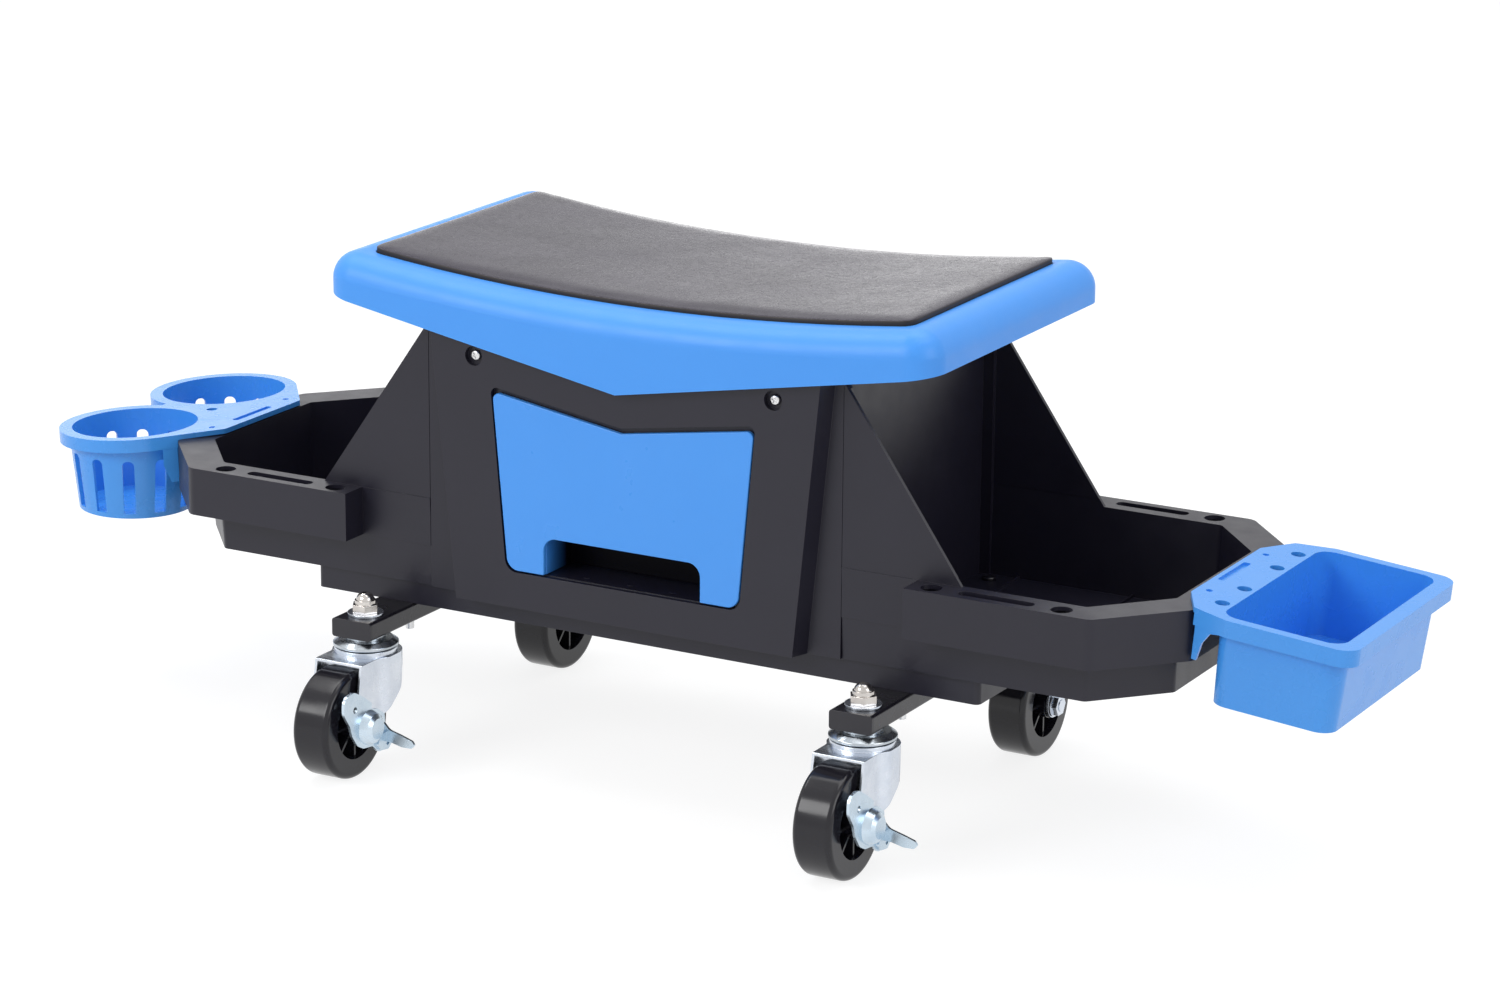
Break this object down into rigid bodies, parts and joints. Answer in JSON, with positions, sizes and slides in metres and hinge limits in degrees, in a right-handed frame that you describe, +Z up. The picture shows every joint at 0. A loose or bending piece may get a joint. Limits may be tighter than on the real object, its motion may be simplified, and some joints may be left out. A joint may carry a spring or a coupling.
{
  "type": "creeper seat",
  "caption": "Low rolling workshop seat with a padded saddle top, a drawer below it, an open tray at each end, a lift-off cup holder, a lift-off side bin and braked swivel casters.",
  "frame": {"origin": "on the floor, under the middle of the whole footprint", "axes": "+Z up; +X along the length to the end with the side bin; -Y to the drawer side, which is also where the wheels trail"},
  "size_m": [0.9988, 0.3712, 0.353],
  "materials": {
    "blue_plastic": "satin, finely textured",
    "blue_gloss": "semi-gloss",
    "body_plastic": "satin, finely textured",
    "pad_leather": "grained, dull",
    "black_paint": "satin",
    "plug_plastic": "satin",
    "black_steel": "satin",
    "zinc_steel": "bright zinc plate",
    "nickel_steel": "polished",
    "wheel_plastic": "gloss"
  },
  "bodies": {
    "frame": {"seat_shell": "blue_plastic", "seat_pad": "pad_leather", "seat_screws": "black_steel", "centre_housing": "body_plastic", "left_tray": "body_plastic", "right_tray": "body_plastic", "base_frame": "body_plastic", "tray_screws": "black_steel", "drawer_rails": "body_plastic", "left_cross_tube": "black_paint", "right_cross_tube": "black_paint", "tube_end_plugs": "plug_plastic", "frame_bolts": "black_steel", "frame_nuts": "zinc_steel", "caster_stems": "zinc_steel", "swivel_cups": "zinc_steel", "stem_washers": "zinc_steel", "acorn_nuts": "nickel_steel"},
    "drawer": {"drawer_front": "blue_plastic", "drawer_box": "blue_plastic"},
    "cup_holder": {"cup_holder": "blue_gloss"},
    "side_bin": {"side_bin": "blue_gloss"},
    "caster_front_left": {"fork_front_left": "zinc_steel", "axle_bolt_front_left": "zinc_steel", "axle_sleeve_front_left": "zinc_steel"},
    "wheel_front_left": {"wheel_front_left": "wheel_plastic"},
    "brake_front_left": {"brake_front_left": "zinc_steel"},
    "caster_front_right": {"fork_front_right": "zinc_steel", "axle_bolt_front_right": "zinc_steel", "axle_sleeve_front_right": "zinc_steel"},
    "wheel_front_right": {"wheel_front_right": "wheel_plastic"},
    "brake_front_right": {"brake_front_right": "zinc_steel"},
    "caster_back_left": {"fork_back_left": "zinc_steel", "axle_bolt_back_left": "zinc_steel", "axle_sleeve_back_left": "zinc_steel"},
    "wheel_back_left": {"wheel_back_left": "wheel_plastic"},
    "caster_back_right": {"fork_back_right": "zinc_steel", "axle_bolt_back_right": "zinc_steel", "axle_sleeve_back_right": "zinc_steel"},
    "wheel_back_right": {"wheel_back_right": "wheel_plastic"}
  },
  "joints": [
    {"name": "swivel_front_left", "type": "hinge", "parent": "frame", "child": "caster_front_left", "pos_m": [-0.19256, -0.11565, 0.08], "axis": [0, 0, 1], "continuous": true},
    {"name": "roll_front_left", "type": "hinge", "parent": "caster_front_left", "child": "wheel_front_left", "pos_m": [-0.19256, -0.14805, 0.0375], "axis": [1, 0, 0], "continuous": true},
    {"name": "brake_press_front_left", "type": "hinge", "parent": "caster_front_left", "child": "brake_front_left", "pos_m": [-0.19256, -0.14805, 0.0375], "axis": [1, 0, 0], "range_deg": [-18, 0]},
    {"name": "swivel_front_right", "type": "hinge", "parent": "frame", "child": "caster_front_right", "pos_m": [0.18824, -0.11565, 0.08], "axis": [0, 0, 1], "continuous": true},
    {"name": "roll_front_right", "type": "hinge", "parent": "caster_front_right", "child": "wheel_front_right", "pos_m": [0.18824, -0.14805, 0.0375], "axis": [1, 0, 0], "continuous": true},
    {"name": "brake_press_front_right", "type": "hinge", "parent": "caster_front_right", "child": "brake_front_right", "pos_m": [0.18824, -0.14805, 0.0375], "axis": [1, 0, 0], "range_deg": [-18, 0]},
    {"name": "swivel_back_left", "type": "hinge", "parent": "frame", "child": "caster_back_left", "pos_m": [-0.19256, 0.16195, 0.08], "axis": [0, 0, 1], "continuous": true},
    {"name": "roll_back_left", "type": "hinge", "parent": "caster_back_left", "child": "wheel_back_left", "pos_m": [-0.19256, 0.12955, 0.0375], "axis": [1, 0, 0], "continuous": true},
    {"name": "swivel_back_right", "type": "hinge", "parent": "frame", "child": "caster_back_right", "pos_m": [0.18824, 0.16195, 0.08], "axis": [0, 0, 1], "continuous": true},
    {"name": "roll_back_right", "type": "hinge", "parent": "caster_back_right", "child": "wheel_back_right", "pos_m": [0.18824, 0.12955, 0.0375], "axis": [1, 0, 0], "continuous": true},
    {"name": "drawer_slide", "type": "slide", "parent": "frame", "child": "drawer", "axis": [0, -1, 0], "range_m": [0, 0.17]},
    {"name": "cup_holder_lift", "type": "slide", "parent": "frame", "child": "cup_holder", "axis": [0, 0, 1], "range_m": [0, 0.24]},
    {"name": "side_bin_lift", "type": "slide", "parent": "frame", "child": "side_bin", "axis": [0, 0, 1], "range_m": [0, 0.24]}
  ]
}
